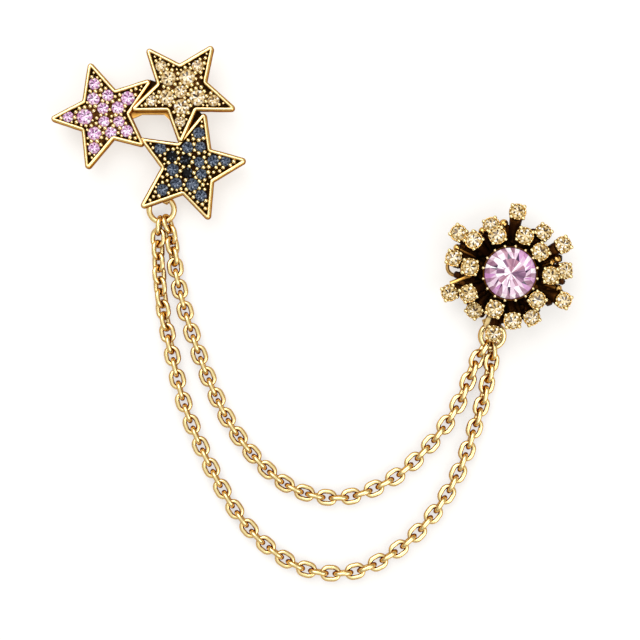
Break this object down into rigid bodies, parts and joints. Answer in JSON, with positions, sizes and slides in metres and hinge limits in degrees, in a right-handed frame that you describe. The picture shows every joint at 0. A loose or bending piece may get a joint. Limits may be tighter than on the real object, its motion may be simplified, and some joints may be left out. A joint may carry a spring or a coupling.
{
  "type": "lapel chain",
  "caption": "Star cluster brooch and a burst brooch of stones on stalks, joined by two draped strands of cable chain.",
  "frame": {"origin": "middle of the bounding box in plan, on the surface that it lies on", "axes": "+X across from the star brooch to the burst brooch, +Y up towards the collar, +Z away from the surface it lies on"},
  "size_m": [0.0966, 0.0994, 0.0104],
  "materials": {
    "cast_gold": "polished ridges, dark antiqued recesses",
    "chain_gold": "polished, lightly antiqued",
    "pin_metal": "satin",
    "pink_glass": "faceted, foil-backed",
    "champagne_glass": "faceted, foil-backed",
    "navy_glass": "faceted, foil-backed"
  },
  "bodies": {
    "root": {"star_casting": "cast_gold", "pink_stones": "pink_glass", "champagne_stones": "champagne_glass", "navy_stones": "navy_glass", "star_pin": "pin_metal", "star_ring": "chain_gold", "outer_chain": "chain_gold", "inner_chain": "chain_gold", "burst_casting": "cast_gold", "center_stone": "pink_glass", "burst_pin": "pin_metal", "burst_ring": "chain_gold", "burst_stone_1": "champagne_glass", "burst_stone_2": "champagne_glass", "burst_stone_3": "champagne_glass", "burst_stone_4": "champagne_glass", "burst_stone_5": "champagne_glass", "burst_stone_6": "champagne_glass", "burst_stone_7": "champagne_glass", "burst_stone_8": "champagne_glass", "burst_stone_9": "champagne_glass", "burst_stone_10": "champagne_glass", "burst_stone_11": "champagne_glass", "burst_stone_12": "champagne_glass", "burst_stone_13": "champagne_glass", "burst_stone_14": "champagne_glass", "burst_stone_15": "champagne_glass", "burst_stone_16": "champagne_glass", "burst_stone_17": "champagne_glass", "burst_stone_18": "champagne_glass", "burst_stone_19": "champagne_glass", "burst_stone_20": "champagne_glass", "burst_stone_21": "champagne_glass", "burst_stone_22": "champagne_glass"}
  },
  "joints": []
}
